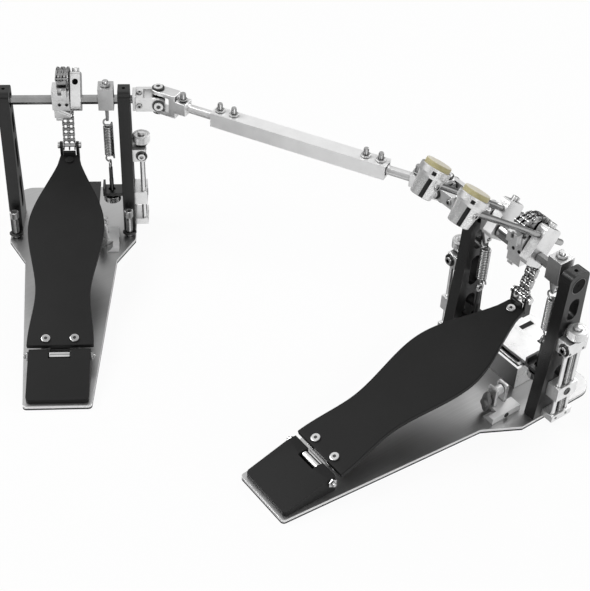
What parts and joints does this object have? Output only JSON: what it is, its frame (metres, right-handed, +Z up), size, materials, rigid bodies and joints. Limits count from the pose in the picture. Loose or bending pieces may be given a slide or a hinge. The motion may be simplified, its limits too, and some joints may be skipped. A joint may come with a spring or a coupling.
{
  "type": "double bass drum pedal",
  "caption": "Twin foot pedal for a bass drum: chain-driven beaters, linked by a jointed driveshaft, on steel base plates.",
  "frame": {"origin": "on the floor under the middle of the main pedal's shaft", "axes": "+X to the player's right along the main shaft, +Y towards the drum, +Z up"},
  "size_m": [0.6561, 0.5046, 0.2934],
  "materials": {
    "plate_steel": "polished edge, brushed face",
    "sole_rubber": "matte",
    "black_coat": "satin black",
    "silver_alloy": "satin",
    "bright_steel": "bright",
    "dark_wing": "satin",
    "felt": "pressed felt"
  },
  "bodies": {
    "frame": {"base_plates": "plate_steel", "rubber_soles": "sole_rubber", "posts": "black_coat", "bearing_caps": "black_coat", "shaft_bearings": "bright_steel", "heel_plates": "black_coat", "hinge_pins": "bright_steel", "tension_supports": "silver_alloy", "clamp_towers": "silver_alloy", "clamp_blocks": "silver_alloy", "floor_spurs": "bright_steel"},
    "main_shaft_line": {"main_shaft": "bright_steel", "main_cam_hub": "silver_alloy", "main_sprocket": "bright_steel", "main_wrapped_chain": "bright_steel", "main_beater_hub": "silver_alloy", "main_spring_arm": "silver_alloy"},
    "left_shaft_line": {"left_shaft": "bright_steel", "left_beater_hub": "silver_alloy", "left_spring_arm": "silver_alloy", "left_yoke": "silver_alloy"},
    "slave_shaft_line": {"slave_shaft": "bright_steel", "slave_cam_hub": "silver_alloy", "slave_sprocket": "bright_steel", "slave_wrapped_chain": "bright_steel", "slave_beater_hub": "silver_alloy", "slave_spring_arm": "silver_alloy", "slave_yoke": "silver_alloy"},
    "main_footboard": {"main_footboard": "black_coat", "main_footboard_fittings": "bright_steel"},
    "slave_footboard": {"slave_footboard": "black_coat", "slave_footboard_fittings": "bright_steel"},
    "main_hanging_chain": {"main_hanging_chain": "bright_steel"},
    "slave_hanging_chain": {"slave_hanging_chain": "bright_steel"},
    "slave_cross": {"slave_cross": "bright_steel"},
    "left_cross": {"left_cross": "bright_steel"},
    "driveshaft": {"drive_sleeve": "silver_alloy", "drive_yokes": "silver_alloy", "drive_screws": "bright_steel"},
    "main_beater": {"main_beater_rod": "bright_steel", "main_beater_head": "silver_alloy", "main_beater_face": "felt"},
    "left_beater": {"left_beater_rod": "bright_steel", "left_beater_head": "silver_alloy", "left_beater_face": "felt"},
    "main_clamp_jaw": {"main_clamp_jaw": "silver_alloy"},
    "main_wing_bolt": {"main_wing_bolt": "dark_wing"},
    "slave_wing_bolt": {"slave_wing_bolt": "dark_wing"},
    "main_tension_knob": {"main_tension_knob": "silver_alloy"},
    "main_tension_block": {"main_tension_block": "silver_alloy"},
    "main_spring_rod": {"main_spring_rod": "bright_steel"},
    "main_spring": {"main_spring": "bright_steel"},
    "slave_tension_knob": {"slave_tension_knob": "silver_alloy"},
    "slave_tension_block": {"slave_tension_block": "silver_alloy"},
    "slave_spring_rod": {"slave_spring_rod": "bright_steel"},
    "slave_spring": {"slave_spring": "bright_steel"},
    "left_tension_knob": {"left_tension_knob": "silver_alloy"},
    "left_tension_block": {"left_tension_block": "silver_alloy"},
    "left_spring_rod": {"left_spring_rod": "bright_steel"},
    "left_spring": {"left_spring": "bright_steel"}
  },
  "joints": [
    {"name": "main_shaft_turn", "type": "hinge", "parent": "frame", "child": "main_shaft_line", "pos_m": [0, 0, 0.172], "axis": [-1, 0, 0], "range_deg": [0, 45], "stiffness_Nm_per_rad": 1.5, "springref_deg": -22.92},
    {"name": "main_footboard_press", "type": "hinge", "parent": "frame", "child": "main_footboard", "pos_m": [0, -0.2515, 0.0196], "axis": [-1, 0, 0], "range_deg": [0, 4.92]},
    {"name": "main_chain_swing", "type": "hinge", "parent": "main_shaft_line", "child": "main_hanging_chain", "pos_m": [0, 0.02806, 0.16579], "axis": [-1, 0, 0], "range_deg": [-61.4, 0]},
    {"name": "slave_shaft_turn", "type": "hinge", "parent": "frame", "child": "slave_shaft_line", "pos_m": [-0.4763, -0.2436, 0.172], "axis": [-0.5388, -0.8425, 0], "range_deg": [0, 45], "stiffness_Nm_per_rad": 1.5, "springref_deg": -22.92},
    {"name": "slave_footboard_press", "type": "hinge", "parent": "frame", "child": "slave_footboard", "pos_m": [-0.26442, -0.3791, 0.0196], "axis": [-0.5388, -0.8425, 0], "range_deg": [0, 4.92]},
    {"name": "slave_chain_swing", "type": "hinge", "parent": "slave_shaft_line", "child": "slave_hanging_chain", "pos_m": [-0.49994, -0.22848, 0.16579], "axis": [-0.5388, -0.8425, 0], "range_deg": [-61.4, 0]},
    {"name": "left_shaft_turn", "type": "hinge", "parent": "frame", "child": "left_shaft_line", "pos_m": [0, 0, 0.172], "axis": [-1, 0, 0], "range_deg": [0, 46.17]},
    {"name": "slave_cross_rock", "type": "hinge", "parent": "slave_shaft_line", "child": "slave_cross", "pos_m": [-0.42027, -0.15599, 0.172], "axis": [-0.8425, 0.5388, 0], "range_deg": [0, 23.54]},
    {"name": "left_cross_rock", "type": "hinge", "parent": "left_shaft_line", "child": "left_cross", "pos_m": [-0.116, 0, 0.172], "axis": [0, 1, 0], "range_deg": [-21.25, 0]},
    {"name": "driveshaft_turn", "type": "hinge", "parent": "frame", "child": "driveshaft", "pos_m": [-0.42027, -0.15599, 0.172], "axis": [-0.8899, -0.4562, 0], "range_deg": [0, 50.07]},
    {"name": "main_tension_travel", "type": "slide", "parent": "frame", "child": "main_tension_block", "axis": [0, 0, 1], "range_m": [-0.003, 0.003], "deforming": ["main_spring"]},
    {"name": "main_tension_turn", "type": "hinge", "parent": "frame", "child": "main_tension_knob", "pos_m": [0.0828, 0, 0.1], "axis": [0, 0, 1], "range_deg": [-940, 940]},
    {"name": "main_spring_swing", "type": "hinge", "parent": "main_tension_block", "child": "main_spring_rod", "pos_m": [0.046, 0, 0.04152], "axis": [-1, 0, 0], "range_deg": [-8.41, 0]},
    {"name": "main_spring_stretch", "type": "slide", "parent": "main_spring_rod", "child": "main_spring", "axis": [0, 0, 1], "range_m": [0, 0.00654], "deforming": ["main_spring"]},
    {"name": "slave_tension_travel", "type": "slide", "parent": "frame", "child": "slave_tension_block", "axis": [0, 0, 1], "range_m": [-0.003, 0.003], "deforming": ["slave_spring"]},
    {"name": "slave_tension_turn", "type": "hinge", "parent": "frame", "child": "slave_tension_knob", "pos_m": [-0.43169, -0.17384, 0.1], "axis": [0, 0, 1], "range_deg": [-940, 940]},
    {"name": "slave_spring_swing", "type": "hinge", "parent": "slave_tension_block", "child": "slave_spring_rod", "pos_m": [-0.45152, -0.20485, 0.04152], "axis": [-0.5388, -0.8425, 0], "range_deg": [-8.41, 0]},
    {"name": "slave_spring_stretch", "type": "slide", "parent": "slave_spring_rod", "child": "slave_spring", "axis": [0, 0, 1], "range_m": [0, 0.00654], "deforming": ["slave_spring"]},
    {"name": "left_tension_travel", "type": "slide", "parent": "frame", "child": "left_tension_block", "axis": [0, 0, 1], "range_m": [-0.003, 0.003], "deforming": ["left_spring"]},
    {"name": "left_tension_turn", "type": "hinge", "parent": "frame", "child": "left_tension_knob", "pos_m": [-0.0828, 0, 0.1], "axis": [0, 0, 1], "range_deg": [-940, 940]},
    {"name": "left_spring_swing", "type": "hinge", "parent": "left_tension_block", "child": "left_spring_rod", "pos_m": [-0.0485, 0, 0.04152], "axis": [-1, 0, 0], "range_deg": [-8.41, 0]},
    {"name": "left_spring_stretch", "type": "slide", "parent": "left_spring_rod", "child": "left_spring", "axis": [0, 0, 1], "range_m": [0, 0.00654], "deforming": ["left_spring"]},
    {"name": "main_beater_height", "type": "slide", "parent": "main_shaft_line", "child": "main_beater", "axis": [0, -0.8192, 0.5736], "range_m": [-0.015, 0.01]},
    {"name": "left_beater_height", "type": "slide", "parent": "left_shaft_line", "child": "left_beater", "axis": [0, -0.8192, 0.5736], "range_m": [-0.015, 0.01]},
    {"name": "clamp_jaw_open", "type": "hinge", "parent": "frame", "child": "main_clamp_jaw", "pos_m": [0, 0.002, 0.027], "axis": [1, 0, 0], "range_deg": [0, 12]},
    {"name": "main_wing_bolt_turn", "type": "hinge", "parent": "frame", "child": "main_wing_bolt", "pos_m": [0.035, -0.04, 0.0195], "axis": [0, 1, 0], "continuous": true},
    {"name": "slave_wing_bolt_turn", "type": "hinge", "parent": "frame", "child": "slave_wing_bolt", "pos_m": [-0.42374, -0.23567, 0.0195], "axis": [-0.8425, 0.5388, 0], "continuous": true}
  ],
  "couplings": [
    {"joint": "main_footboard_press", "follows": "main_shaft_turn", "ratio": 0.105},
    {"joint": "main_chain_swing", "follows": "main_shaft_turn", "ratio": -1.36},
    {"joint": "slave_footboard_press", "follows": "slave_shaft_turn", "ratio": 0.105},
    {"joint": "slave_chain_swing", "follows": "slave_shaft_turn", "ratio": -1.36},
    {"joint": "left_shaft_turn", "follows": "slave_shaft_turn", "ratio": 1.0217},
    {"joint": "slave_cross_rock", "follows": "slave_shaft_turn", "ratio": 0.51862},
    {"joint": "left_cross_rock", "follows": "slave_shaft_turn", "ratio": -0.46788},
    {"joint": "driveshaft_turn", "follows": "slave_shaft_turn", "ratio": 1.1082},
    {"joint": "main_tension_turn", "follows": "main_tension_travel", "rad_per_m": -5026.5},
    {"joint": "main_spring_swing", "follows": "main_shaft_turn", "ratio": -0.1825},
    {"joint": "main_spring_stretch", "follows": "main_shaft_turn", "m_per_rad": 0.0082},
    {"joint": "slave_tension_turn", "follows": "slave_tension_travel", "rad_per_m": -5026.5},
    {"joint": "slave_spring_swing", "follows": "slave_shaft_turn", "ratio": -0.1825},
    {"joint": "slave_spring_stretch", "follows": "slave_shaft_turn", "m_per_rad": 0.0082},
    {"joint": "left_tension_turn", "follows": "left_tension_travel", "rad_per_m": -5026.5},
    {"joint": "left_spring_swing", "follows": "slave_shaft_turn", "ratio": -0.1825},
    {"joint": "left_spring_stretch", "follows": "slave_shaft_turn", "m_per_rad": 0.0082}
  ]
}
